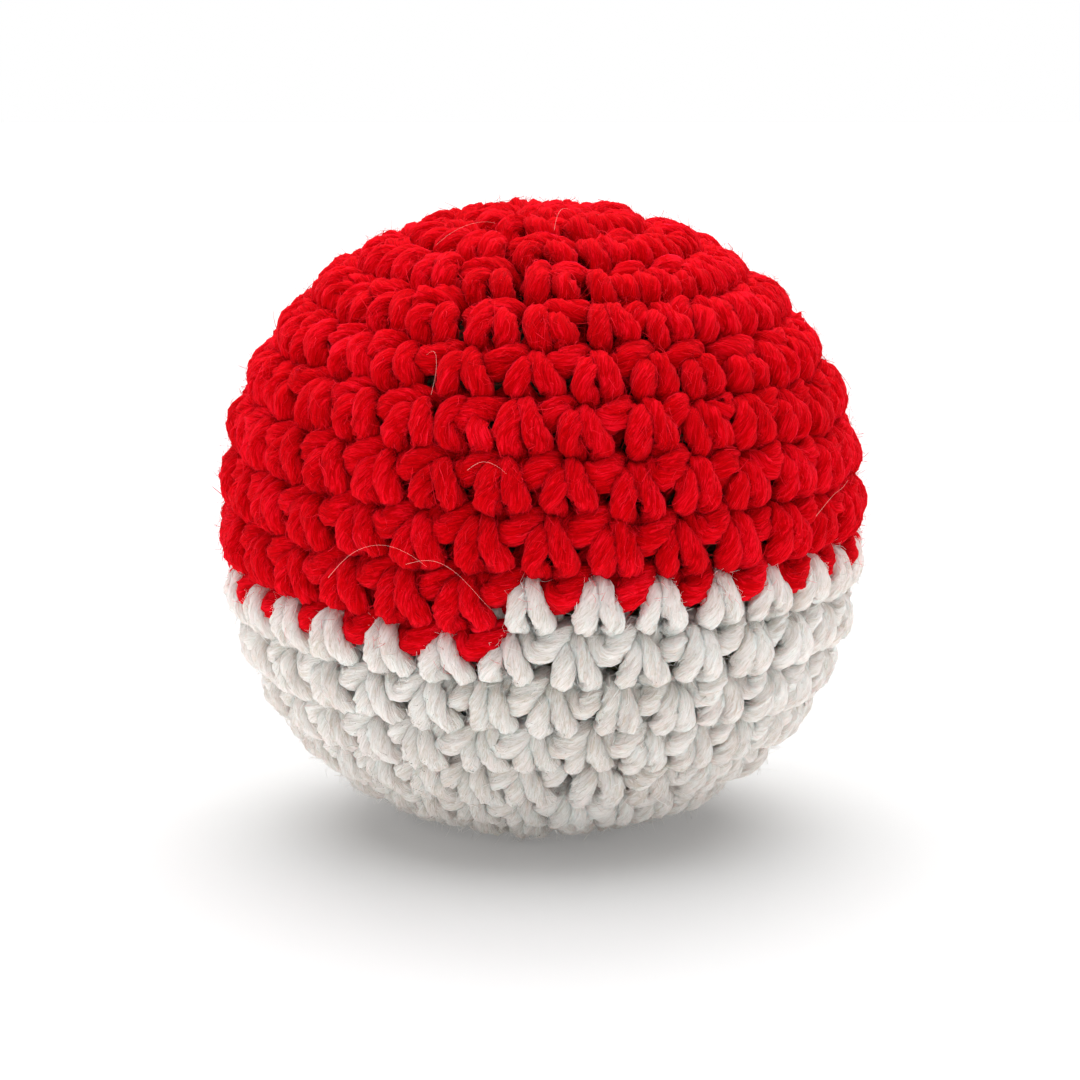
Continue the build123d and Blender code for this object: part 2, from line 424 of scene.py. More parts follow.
@dataclass
class BallSurface:
    """The surface that the tops of the stitches reach, as a profile turned about Z.

    Places on it are a run, the length in millimetres down the profile from the top pole, an
    azimuth in radians from +X, and a depth in millimetres, positive outward.
    """

    half_width: float
    height: float
    widest_level: float = 30.4
    rest_radius: float = 11.0
    squareness: float = 2.2
    step: float = 0.2
    runs: np.ndarray = field(init=False)
    radii: np.ndarray = field(init=False)
    levels: np.ndarray = field(init=False)
    lean: np.ndarray = field(init=False)

    def __post_init__(self) -> None:
        """Sample the profile evenly by its length, with its outward direction."""
        n = self.squareness
        share = self.rest_radius / self.half_width
        rest = (1 - share**n) ** (1 / n)
        rise, drop = self.height - self.widest_level, self.widest_level / rest
        turn = np.concatenate(
            [np.linspace(math.pi / 2, 0, 400), -np.linspace(0, math.atan2(rest, share), 400)[1:]]
        )
        across, along = squared_circle(turn, n)
        radius = self.half_width * across
        level = self.widest_level + np.where(along > 0, rise, drop) * along
        flat = np.linspace(self.rest_radius, 0, 60)[1:]
        radius = np.concatenate([radius, flat])
        level = np.concatenate([level, np.zeros_like(flat)])
        length = np.concatenate([[0], np.cumsum(np.hypot(np.diff(radius), np.diff(level)))])
        self.runs = np.arange(0, length[-1], self.step)
        self.radii = np.interp(self.runs, length, radius)
        self.levels = np.interp(self.runs, length, level)
        slope_r, slope_z = np.gradient(self.radii), np.gradient(self.levels)
        lean = np.arctan2(slope_r, -slope_z)  # of the outward direction above level
        kernel = np.hanning(31) / np.hanning(31).sum()
        padded = np.pad(lean, 15, mode="edge")
        self.lean = np.convolve(padded, kernel, mode="valid")

    @property
    def length(self) -> float:
        """The profile's whole length from pole to pole, in millimetres."""
        return float(self.runs[-1])

    def radius(self, run: np.ndarray) -> np.ndarray:
        """The distance from the Z axis at a run."""
        return np.interp(run, self.runs, self.radii)

    def run_at_level(self, level: float) -> float:
        """The run where the profile passes a height."""
        return float(np.interp(-level, -self.levels[:-60], self.runs[:-60]))

    def place(self, run: np.ndarray, azimuth: np.ndarray, depth: np.ndarray) -> np.ndarray:
        """Turn places on the surface into points.

        Args:
            run: Lengths down the profile.
            azimuth: Angles from +X, in radians.
            depth: Distances outward from the surface.

        Returns:
            One row of X, Y, Z in millimetres for each place.
        """
        lean = np.interp(run, self.runs, self.lean)
        radius = np.interp(run, self.runs, self.radii) + depth * np.cos(lean)
        level = np.interp(run, self.runs, self.levels) + depth * np.sin(lean)
        return np.stack([radius * np.cos(azimuth), radius * np.sin(azimuth), level], axis=1)

    def outward(self, run: np.ndarray, azimuth: np.ndarray) -> np.ndarray:
        """The outward direction at places on the surface."""
        lean = np.interp(run, self.runs, self.lean)
        flat = np.cos(lean)
        return np.stack([flat * np.cos(azimuth), flat * np.sin(azimuth), np.sin(lean)], axis=1)

    def depth(self, points: np.ndarray) -> np.ndarray:
        """How far points inside the ball are from its surface.

        Args:
            points: Rows of X, Y, Z in millimetres.

        Returns:
            The distances, in millimetres.
        """
        radius = np.hypot(points[:, 0], points[:, 1])
        across = radius[:, None] - self.radii[None, ::3]
        along = points[:, 2][:, None] - self.levels[None, ::3]
        return np.hypot(across, along).min(axis=1)


# ------------------------------------------------------------------ yarn


def above_table(points: np.ndarray, give: float = 0.3) -> np.ndarray:
    """Press yarn that would pass through the table flat against it.

    Args:
        points: Places, in millimetres, with the height last.
        give: The height at which the table starts to be felt.

    Returns:
        The places, all of them above the table.
    """
    pressed = points.copy()
    height = pressed[..., 2]
    pressed[..., 2] = np.where(height < give, give * np.exp(np.minimum(height - give, 0) / give), height)
    return pressed


def spline(points: np.ndarray, samples: int) -> np.ndarray:
    """Smooth rows of control values with a uniform cubic B-spline.

    Args:
        points: Control rows, with any number of columns.
        samples: Points to take on each span.

    Returns:
        The smoothed rows, from the second control row to the last but one.
    """
    t = np.arange(samples)[:, None] / samples
    basis = (
        np.concatenate(
            [(1 - t) ** 3, 3 * t**3 - 6 * t**2 + 4, -3 * t**3 + 3 * t**2 + 3 * t + 1, t**3], axis=1
        )
        / 6
    )
    windows = np.stack([points[i : len(points) - 3 + i] for i in range(4)], axis=1)
    return np.einsum("sk,wkc->wsc", basis, windows).reshape(-1, points.shape[1])


def with_ends(points: np.ndarray) -> np.ndarray:
    """Carry a line one point further at both ends, so that a spline through it starts at its first."""
    return np.concatenate([[2 * points[0] - points[1]], points, [2 * points[-1] - points[-2]]])


ASKEW = (0.31, 0.52, 0.79)  # a direction that no stretch of yarn runs along


def carried_frames(points: np.ndarray) -> tuple[np.ndarray, np.ndarray, np.ndarray]:
    """Carry a square frame along a line without letting it spin.

    Args:
        points: The line's points.

    Returns:
        The directions along the line and the two across it, one row for each point.
    """
    ahead = unit(np.gradient(points, axis=0))
    side = unit(np.cross(ahead[0], ASKEW))
    sides = np.empty_like(points)
    for i, direction in enumerate(ahead):
        side = side - direction * direction.dot(side)
        side /= math.sqrt(side.dot(side))
        sides[i] = side
    return ahead, sides, np.cross(ahead, sides)


@dataclass(frozen=True)
class Strand:
    """A stretch of yarn to sweep: its line, its radius and its bleed at each point, in millimetres."""

    points: np.ndarray
    radii: np.ndarray
    bleed: np.ndarray


@dataclass(frozen=True)
class PliedSection:
    """The cross-section of plied yarn, which turns along its length as the plies twist."""

    plies: int = 4
    sides: int = 20
    groove: float = 0.17
    twist_mm: float = 9.5
    unevenness: float = 0.08  # of the bundles of fibres, as a share of the radius
    lumps: float = 0.04  # of the whole yarn, as a share of the radius

    def sweep(self, strand: Strand) -> "SweptYarn":
        """Sweep the section along a strand.

        Args:
            strand: The line to follow.

        Returns:
            The swept rings, with their fibre coordinates.
        """
        step = np.linalg.norm(np.diff(strand.points, axis=0), axis=1)
        length = np.concatenate([[0], np.cumsum(step)])
        _, side, up = carried_frames(strand.points)
        angle = np.arange(self.sides) * (2 * math.pi / self.sides)
        lobes = 1 - self.groove * (1 - np.abs(np.cos(angle * self.plies / 2)))
        turned = angle[None, :] + (length * (2 * math.pi / self.twist_mm))[:, None]
        bundles = np.random.default_rng(len(length)).normal(0, 1, (len(length) + 6, self.sides))
        bundles = sum(bundles[i : len(bundles) - 6 + i] for i in range(7)) / math.sqrt(7)
        swell = np.random.default_rng(len(length) + 1).normal(0, 1, len(length))
        swell = np.convolve(swell, np.ones(5), "same") / math.sqrt(5)
        reach = strand.radii[:, None] * (
            lobes[None, :] + self.unevenness * bundles + self.lumps * swell[:, None]
        )
        rings = (
            strand.points[:, None, :]
            + (reach * np.cos(turned))[:, :, None] * side[:, None, :]
            + (reach * np.sin(turned))[:, :, None] * up[:, None, :]
        )
        return SweptYarn(above_table(rings), length, strand)


@dataclass(frozen=True)
class SweptYarn:
    """Rings of points round a strand, the length at each ring, and the strand itself."""

    rings: np.ndarray
    length: np.ndarray
    strand: Strand


def ring_quads(rings: int, sides: int) -> np.ndarray:
    """The quads between rings of points that are numbered ring by ring.

    Args:
        rings: The rings.
        sides: The points in each ring.

    Returns:
        One row of four point numbers for each quad.
    """
    ring = np.arange(rings - 1)[:, None] * sides
    edge = np.arange(sides)[None, :]
    after = (edge + 1) % sides
    quads = np.stack([ring + edge, ring + after, ring + sides + after, ring + sides + edge], axis=2)
    return quads.reshape(-1, 4)


def closed_mesh(name: str, points: np.ndarray, quads: np.ndarray, caps: np.ndarray) -> bpy.types.Mesh:
    """Make a smooth mesh of quads along its sides and triangles at its ends.

    Args:
        name: The mesh's name.
        points: Rows of X, Y, Z in millimetres.
        quads: Rows of four point numbers.
        caps: Rows of three point numbers.

    Returns:
        The mesh, in metres.
    """
    mesh = bpy.data.meshes.new(name)
    mesh.vertices.add(len(points))
    mesh.vertices.foreach_set("co", (points * MM).ravel())
    mesh.loops.add(quads.size + caps.size)
    mesh.loops.foreach_set("vertex_index", np.concatenate([quads.ravel(), caps.ravel()]))
    mesh.polygons.add(len(quads) + len(caps))
    starts = np.concatenate([np.arange(len(quads)) * 4, quads.size + np.arange(len(caps)) * 3])
    mesh.polygons.foreach_set("loop_start", starts)
    mesh.polygons.foreach_set("use_smooth", np.ones(len(starts), bool))
    mesh.update(calc_edges=True)
    return mesh


def add_map(mesh: bpy.types.Mesh, title: str, places: np.ndarray) -> None:
    """Give a mesh a UV map.

    Args:
        mesh: The mesh.
        title: The map's name.
        places: One row of U and V for each corner of each face.
    """
    mesh.uv_layers.new(name=title).uv.foreach_set("vector", places.ravel().astype(np.float32))


def add_values(mesh: bpy.types.Mesh, title: str, values: np.ndarray) -> None:
    """Give a mesh a number at each of its points, for its material to read.

    Args:
        mesh: The mesh.
        title: The attribute's name.
        values: One number for each point.
    """
    mesh.attributes.new(title, "FLOAT", "POINT").data.foreach_set("value", values.astype(np.float32))


def tube_mesh(name: str, yarn: SweptYarn, cell_rows: int, cells: tuple[int, int]) -> bpy.types.Mesh:
    """Make a closed tube mesh with its fibre map, its bake map and its bleed attribute.

    The bake map cuts the tube into lengths and lays them side by side in a grid of cells.

    Args:
        name: The mesh's name.
        yarn: The swept rings.
        cell_rows: Rings in each length that takes a cell of the bake map.
        cells: Cells across and up the bake map.

    Returns:
        The mesh, in metres.
    """
    count, sides = yarn.rings.shape[:2]
    quads = ring_quads(count, sides)
    centres = np.array([yarn.strand.points[0], yarn.strand.points[-1]])
    points = np.concatenate([yarn.rings.reshape(-1, 3), centres])
    first, last = count * sides, count * sides + 1
    tip = (count - 1) * sides
    edge = np.arange(sides)
    after = (edge + 1) % sides
    start_cap = np.stack([after, edge, np.full(sides, first)], axis=1)
    end_cap = np.stack([tip + edge, tip + after, np.full(sides, last)], axis=1)
    caps = np.concatenate([start_cap, end_cap])
    mesh = closed_mesh(name, points, quads, caps)

    around = np.array([0, 1, 1, 0])
    forward = np.array([0, 0, 1, 1])
    face_ring = np.repeat(np.arange(count - 1), sides)
    face_edge = np.tile(np.arange(sides), count - 1)
    loop_ring = face_ring[:, None] + forward[None, :]
    loop_edge = face_edge[:, None] + around[None, :]
    girth = 2 * math.pi * yarn.strand.radii.mean()
    fibre = np.stack([yarn.length[loop_ring], loop_edge * girth / sides], axis=2).reshape(-1, 2)
    fibre = np.concatenate([fibre, np.zeros((caps.size, 2))])
    cell = face_ring // cell_rows
    column, row = cell % cells[0], cell // cells[0]
    gap = 0.06  # between cells, as a share of one
    inside = (loop_ring - (cell * cell_rows)[:, None]) / cell_rows
    u = (column[:, None] + gap / 2 + inside * (1 - gap)) / cells[0]
    v = (row[:, None] + gap + loop_edge / sides * (1 - 2 * gap)) / cells[1]
    bake = np.stack([u, v], axis=2).reshape(-1, 2)
    cap_corners = np.tile([(0.0, 0.0), (1.0, 0.0), (0.5, 1.0)], (len(caps), 1))
    bake = np.concatenate([bake, cap_corners * 0.002 + 0.997])  # the ends share the map's last corner
    add_map(mesh, FIBRE_MAP, fibre)
    add_map(mesh, BAKE_MAP, bake)
    bleed = yarn.strand.bleed
    add_values(mesh, "bleed", np.concatenate([np.repeat(bleed, sides), bleed[[0, -1]]]))
    mesh.validate()
    return mesh


def add_piece(
    name: str, mesh: bpy.types.Mesh, material: bpy.types.Material, slot: str, nodes: Sequence[str] = ()
) -> bpy.types.Object:
    """Put a finished mesh in the scene as a piece of the ball.

    Args:
        name: The piece's name.
        mesh: Its mesh, in place.
        material: Its material.
        slot: The name of a material slot; not used.
        nodes: CAD nodes that it stands for.

    Returns:
        The piece.
    """
    piece = bpy.data.objects.new(name, mesh)
    bpy.context.scene.collection.objects.link(piece)
    mesh.materials.append(material)
    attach(piece, BODY)
    if nodes:
        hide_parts(*nodes)
    log.info("%s: %d faces", name, len(mesh.polygons))
    return piece


# The yarn's route through one stitch, in the order that it was worked. Along is counted in
# stitches in the working direction, down in rounds towards the next round, out in millimetres
# from the ball's surface, and girth as a share of the yarn's radius.
STITCH_ROUTE = (
    # along, down, out, girth: up through the hole and down the left leg
    (0.05, 0.03, -3.40, 0.70),
    (0.07, -0.02, -2.65, 0.70),
    (0.06, 0.07, -1.90, 0.74),
    (0.03, 0.22, -1.40, 0.94),
    (-0.02, 0.40, -1.20, 1.00),
    (-0.07, 0.57, -1.18, 1.02),
    (-0.11, 0.72, -1.40, 1.02),
    (-0.10, 0.85, -2.05, 0.98),
    # behind the neck
    (-0.04, 0.93, -2.95, 0.84),
    (0.16, 1.00, -3.70, 0.66),
    (0.35, 0.93, -3.00, 0.84),
    # up the right leg and back through the hole
    (0.41, 0.85, -2.05, 0.98),
    (0.42, 0.72, -1.45, 1.02),
    (0.36, 0.57, -1.20, 1.02),
    (0.27, 0.39, -1.20, 1.00),
    (0.18, 0.21, -1.42, 0.94),
    (0.13, 0.07, -1.95, 0.74),
    (0.10, -0.02, -2.75, 0.70),
    # behind the stitch
    (0.09, 0.05, -3.55, 0.70),
    (0.16, 0.26, -3.90, 0.66),
    (0.27, 0.52, -3.90, 0.66),
    (0.40, 0.78, -3.80, 0.66),
    # through the neck, over the front and along to the next neck
    (0.35, 0.92, -3.30, 0.70),
    (0.14, 0.96, -3.00, 0.80),
    (0.00, 1.08, -2.40, 0.94),
    (0.05, 1.25, -1.75, 1.08),
    (0.18, 1.34, -1.30, 1.16),
    (0.33, 1.28, -1.12, 1.18),
    (0.48, 1.15, -1.22, 1.12),
    (0.63, 1.02, -1.90, 0.96),
    (0.80, 0.95, -2.85, 0.78),
    # round the next neck and back
    (0.89, 0.91, -3.45, 0.66),
    (0.78, 0.94, -3.90, 0.62),
    (0.55, 0.98, -4.00, 0.60),
    (0.58, 0.70, -4.00, 0.60),
    (0.78, 0.36, -4.00, 0.62),
    (0.97, 0.12, -3.85, 0.68),
)
LEG_POINTS = slice(2, 18)
LOBE_POINTS = slice(23, 31)  # the strand over the front
HIDDEN_POINTS = (9, 18, 19, 20, 21, 22, 30, 31, 32, 33, 34, 35)  # behind the fabric
BAKE_CELLS = (3, 11)  # of a round's bake map: one for each of its stitches, and a few to spare


@dataclass
class CrochetCover:
    """The whole cover: one spiral of single crochet in two colours of yarn."""

    surface: BallSurface
    first_point_level: float = 30.9  # the height of the first white stitch's point
    change_azimuth: float = math.radians(-94.0)  # of that point
    stitch_width: float = 6.75
    round_depth: float = 5.8
    drift: float = 0.3  # stitches that each round leans back by
    start_turn: float = -0.45  # of the spiral, in rounds from the top pole
    end_gap: float = 0.62  # rounds left above the bottom pole, which the last ones close
    fullness: float = 0.35  # how readily a round takes six stitches more
    buried: float = 0.9  # how far the yarn's middle stays below the surface, at least
    yarn_radius: float = 1.2
    red_fullness: float = 1.05  # the red yarn is a little fluffier than the white
    white_fullness: float = 0.94
    samples: int = 2  # on each span of the route
    seed: int = 11
    touch: float = 0.86  # how near two lengths of yarn may come, as a share of their radii
    contact_rounds: int = 3
    settle_steps: int = 8  # in each contact round
    push: float = 0.35  # the share of an overlap that one step mends
    push_limit: float = 0.25
    hold: float = 0.12  # how strongly the yarn keeps to its place
    stiffness: float = 0.08
    pull: float = 0.3  # how strongly it keeps its length
    sink: float = 0.4  # how far it may settle inward
    rise: float = 0.1  # and outward
    tuck_touch: float = 0.94  # as touch, between a leg and the loop under it
    tuck_limit: float = 0.7
    pole_crowding: float = 1.8  # how far short of a pole the last loops are drawn together
    section: PliedSection = PliedSection()

    def stitches_in_round(self, number: int, change: float) -> int:
        """Stitches in a round, which grow and shrink by whole sixths as rounds are worked.

        Args:
            number: The round, counted from the colour change.
            change: The turn of the colour change.

        Returns:
            The stitches, a multiple of six.
        """
        edges = self.surface.radius((change + number + np.array([0.0, 1.0])) * self.round_depth)
        wanted = 2 * math.pi * float(edges.max()) / self.stitch_width
        return 6 * max(1, min(5, round(wanted / 6 + self.fullness)))

    def turns(self) -> tuple[np.ndarray, np.ndarray, np.ndarray, int]:
        """Where each stitch's point lies.

        Returns:
            The turns of the spiral from the top pole, in working order, the azimuths, the
            stitches in each one's round, and the number of the first white stitch.
        """
        change = self.surface.run_at_level(self.first_point_level) / self.round_depth
        first, last = self.start_turn, self.surface.length / self.round_depth - self.end_gap
        halves = []
        for side in (-1, 1):
            half, turn, azimuth = [], change, self.change_azimuth
            number = 0 if side > 0 else -1
            while first < turn < last:
                count = self.stitches_in_round(number, change)
                for _ in range(count):
                    if side > 0:
                        half.append((turn, azimuth, count))
                    turn += side / count
                    azimuth += side * 2 * math.pi / count * (1 - self.drift / count)
                    if side < 0:
                        half.append((turn, azimuth, count))
                number += side
            halves.append([row for row in half if first < row[0] < last])
        turns, azimuths, counts = np.array(halves[0][::-1] + halves[1]).T
        return turns, azimuths, counts, len(halves[0])

    def route(self) -> tuple[np.ndarray, np.ndarray, int]:
        """Lay the stitch route round the whole spiral.

        Returns:
            One control row (X, Y, Z, radius, bleed) for each point of each stitch, the turn of
            each stitch, and the number of the first white stitch.
        """
        turns, azimuth, per_turn, first_white = self.turns()
        rng = np.random.default_rng(self.seed)
        count = len(turns)
        route = np.array(STITCH_ROUTE)
        change = turns[first_white]

        def uneven(column: int, whole: float, each: float) -> np.ndarray:
            """One column of the route, shifted for every whole stitch and for each of its points."""
            shift = rng.normal(0, whole, (count, 1)) + rng.normal(0, each, (count, len(route)))
            return route[None, :, column] + shift

        along = uneven(0, 0.04, 0.014)
        down = uneven(1, 0.03, 0.012)
        spread = 1 + rng.normal(0, 0.10, (count, 1))
        along = 0.1 + (along - 0.1) * np.where(route[None, :, 1] < 0.9, spread, 1)
        out = uneven(2, 0.12, 0.05)
        girth = route[None, :, 3] * (1 + rng.normal(0, 0.035, (count, 1)))
        girth = girth * np.where(turns < change, self.red_fullness, self.white_fullness)[:, None]
        run = (turns[:, None] + along / per_turn[:, None] + down) * self.round_depth
        run = self.short_of_pole(run)
        run = self.surface.length - self.short_of_pole(self.surface.length - run)
        angle = azimuth[:, None] + along * 2 * math.pi / per_turn[:, None]
        points = self.surface.place(run.ravel(), angle.ravel(), np.minimum(out, -self.buried).ravel())
        bleed = np.zeros((count, len(route)))
        seam = (turns >= change) & (turns < change + 1)  # red fluff catches on this round's tips
        bleed[seam] = 0.5 * np.clip(0.4 - np.abs(route[None, :, 1] - 0.1), 0, 1)
        rows = np.column_stack([points, (girth * self.yarn_radius).ravel(), bleed.ravel()])
        outward = self.surface.outward(run.ravel(), angle.ravel())
        rows = self.tuck(self.settle(rows, outward), outward)
        return rows, turns, first_white

    def short_of_pole(self, run: np.ndarray) -> np.ndarray:
        """Bend runs that would pass a pole so that they crowd together just short of it.

        Args:
            run: Lengths from the pole, which may be negative.

        Returns:
            Positive lengths.
        """
        return (run + np.sqrt(run**2 + self.pole_crowding**2)) / 2

    def settle(self, rows: np.ndarray, outward: np.ndarray) -> np.ndarray:
        """Let the yarn push itself apart where it touches, as it does when the stitches are drawn up.

        Args:
            rows: Control rows, whose first four columns are X, Y, Z and radius.
            outward: The surface's outward direction at each.

        Returns:
            The rows, moved.
        """
        start = rows[:, :3].copy()
        points, radii = start.copy(), rows[:, 3]
        lengths = np.linalg.norm(np.diff(start, axis=0), axis=1)
        for _ in range(self.contact_rounds):
            first, second = self.near_pairs(points, radii)
            reach = self.touch * (radii[first] + radii[second])
            for _ in range(self.settle_steps):
                apart = points[second] - points[first]
                gap = np.linalg.norm(apart, axis=1) + 1e-9
                push = np.clip(reach - gap, 0, None) / gap * 0.5
                move = np.zeros_like(points)
                for axis in range(3):
                    shift = apart[:, axis] * push
                    move[:, axis] = np.bincount(second, shift, len(points))
                    move[:, axis] -= np.bincount(first, shift, len(points))
                points += np.clip(move * self.push, -self.push_limit, self.push_limit)
                points += (start - points) * self.hold
                points[1:-1] += ((points[:-2] + points[2:]) / 2 - points[1:-1]) * self.stiffness
                ahead = np.diff(points, axis=0)
                now = np.linalg.norm(ahead, axis=1) + 1e-9
                pull = ahead * ((now - lengths) / now * self.pull)[:, None]
                points[:-1] += pull
                points[1:] -= pull
                depth = np.einsum("ij,ij->i", points - start, outward)
                points += outward * (np.clip(depth, -self.sink, self.rise) - depth)[:, None]
        moved = rows.copy()
        moved[:, :3] = points
        return moved

    def tuck(self, rows: np.ndarray, outward: np.ndarray) -> np.ndarray:
        """Press each loop's front strand in behind the legs that were worked over it.

        Args:
            rows: Control rows, whose first four columns are X, Y, Z and radius.
            outward: The surface's outward direction at each.

        Returns:
            The rows, moved.
        """
        place = np.arange(len(rows)) % len(STITCH_ROUTE)
        is_leg = (place >= LEG_POINTS.start) & (place < LEG_POINTS.stop)
        is_lobe = (place >= LOBE_POINTS.start) & (place < LOBE_POINTS.stop)
        first, second = self.near_pairs(rows[:, :3], rows[:, 3])
        both = np.concatenate([np.stack([first, second]), np.stack([second, first])], axis=1)
        leg, lobe = both[:, is_leg[both[0]] & is_lobe[both[1]]]
        apart = rows[leg, :3] - rows[lobe, :3]
        above = np.einsum("ij,ij->i", apart, outward[lobe])
        aside = np.einsum("ij,ij->i", apart, apart) - above**2
        reach = self.tuck_touch * (rows[leg, 3] + rows[lobe, 3])
        needed = np.sqrt(np.clip(reach**2 - aside, 0, None)) - above
        press = np.zeros(len(rows))
        np.maximum.at(press, lobe, np.clip(needed, 0, self.tuck_limit))
        press = np.convolve(press, (0.2, 0.6, 0.2), mode="same")
        moved = rows.copy()
        moved[:, :3] -= outward * press[:, None]
        return moved

    def near_pairs(self, points: np.ndarray, radii: np.ndarray) -> tuple[np.ndarray, np.ndarray]:
        """Find the pairs of points that may touch, leaving out neighbours along the yarn.

        Args:
            points: The yarn's points.
            radii: Its radius at each.

        Returns:
            The numbers of the first and the second point of each pair.
        """
        tree = KDTree(len(points))
        for number, point in enumerate(points):
            tree.insert(point, number)
        tree.balance()
        reach = 2 * float(radii.max()) + 0.3
        pairs = [
            (number, other)
            for number, point in enumerate(points)
            for _, other, _ in tree.find_range(point, reach)
            if other > number + 3
        ]
        first, second = np.array(pairs).T
        return first, second

    def strands(self) -> Iterator[tuple[Colour, int, Strand]]:
        """Cut the yarn into one strand for each round of each colour.

        Yields:
            The colour, the round's number from the top, and its strand.
        """
        rows, turns, first_white = self.route()
        points_each = len(STITCH_ROUTE)
        number = np.floor(turns - turns[first_white] + 1e-6).astype(int)
        number -= number.min() - 1
        for round_number in range(1, number.max() + 1):
            chosen = np.flatnonzero(number == round_number)
            if len(chosen) == 0:
                continue
            start = max(chosen[0] * points_each - 1, 0)
            stop = min((chosen[-1] + 1) * points_each + 2, len(rows))
            smooth = spline(rows[start:stop], self.samples)[self.kept_rings(stop - start - 3)]
            colour = Colour.WHITE if chosen[0] >= first_white else Colour.RED
            yield colour, round_number, Strand(smooth[:, :3], smooth[:, 3], smooth[:, 4])

    def kept_rings(self, spans: int) -> np.ndarray:
        """Which rings of a smoothed strand to keep: fewer where the yarn runs behind the fabric.

        Args:
            spans: The strand's spans, the first of which starts a stitch.

        Returns:
            True or false for each ring.
        """
        span = np.arange(spans * self.samples) // self.samples % len(STITCH_ROUTE)
        first = np.arange(spans * self.samples) % self.samples == 0
        return ~np.isin(span, HIDDEN_POINTS) | first

    def build(self, materials: dict[Colour, bpy.types.Material]) -> list[tuple[Colour, SweptYarn]]:
        """Make the yarn pieces of every round.

        Args:
            materials: The yarn material of each colour.

        Returns:
            The swept yarn, for the fibres that stand off it.
        """
        swept = []
        for colour, number, strand in self.strands():
            yarn = self.section.sweep(strand)
            swept.append((colour, yarn))
            rings = int(self.kept_rings(len(STITCH_ROUTE)).sum())
            name = f"{colour.value}_round_{number:02d}"
            mesh = tube_mesh(name, yarn, rings, BAKE_CELLS)
            add_piece(name, mesh, materials[colour], f"{colour.value}_yarn", [f"{colour.value}_cover"])
        return swept


# ------------------------------------------------------------------ loose fibres


@dataclass
class Hairs:
    """Thin fibres to be made into one mesh: their lines, radii and tones, in millimetres."""

    lines: np.ndarray  # one row of points for each fibre
    radius: np.ndarray
    tone: np.ndarray
    tip: float = 0.45  # the radius there, as a share of the fibre's

    def mesh(self, name: str) -> bpy.types.Mesh:
        """Make every fibre a closed three-sided tube that tapers to its tip.

        Args:
            name: The mesh's name.

        Returns:
            The mesh, in metres.
        """
        count, rings = self.lines.shape[:2]
        ahead = unit(np.gradient(self.lines, axis=1))
        side = unit(np.cross(ahead, ASKEW))
        up = np.cross(ahead, side)
        girth = self.radius[:, None] * np.linspace(1, self.tip, rings)[None, :]
        corners = []
        for turn in np.arange(3) * (2 * math.pi / 3):
            corners.append(self.lines + girth[:, :, None] * (math.cos(turn) * side + math.sin(turn) * up))
        points = np.stack(corners, axis=2).reshape(-1, 3)
        each = rings * 3
        base = np.arange(count)[:, None, None] * each
        quads = (ring_quads(rings, 3)[None] + base).reshape(-1, 4)
        caps = (np.array([[2, 1, 0], [each - 3, each - 2, each - 1]])[None] + base).reshape(-1, 3)
        mesh = closed_mesh(name, points, quads, caps)
        owner = np.concatenate([quads.ravel(), caps.ravel()]) // each
        grid = math.ceil(math.sqrt(count))
        low, high, middle = 0.2, 0.8, 0.5  # within each fibre's own cell of the bake map
        across = (np.tile([low, high, high, low], len(quads)), np.tile([low, high, middle], len(caps)))
        upward = (np.tile([low, low, high, high], len(quads)), np.tile([low, low, high], len(caps)))
        u = (owner % grid + np.concatenate(across)) / grid
        v = (owner // grid + np.concatenate(upward)) / grid
        add_map(mesh, BAKE_MAP, np.stack([u, v], axis=1))
        add_values(mesh, "tone", np.repeat(self.tone, each))
        mesh.validate()
        return mesh


@dataclass(frozen=True)
class Growth:
    """How one kind of loose fibre grows, in millimetres."""

    word: str
    count: int
    points: int
    thickness: float
    length: float
    rise: float
    slant: float  # how far its direction strays from the yarn's, in radians
    looped: float  # the share that end back in the yarn


STANDING = Growth("loose_fibres", 11000, 3, 0.038, 0.90, 0.30, 0.90, 0.5)
LYING = Growth("surface_fibres", 6000, 4, 0.09, 1.2, 0.05, 0.35, 1.0)
GROWN = ((STANDING, 1), (STANDING, 2), (LYING, 1))
CAUGHT_FIBRES = 450  # of red on the first white stitches


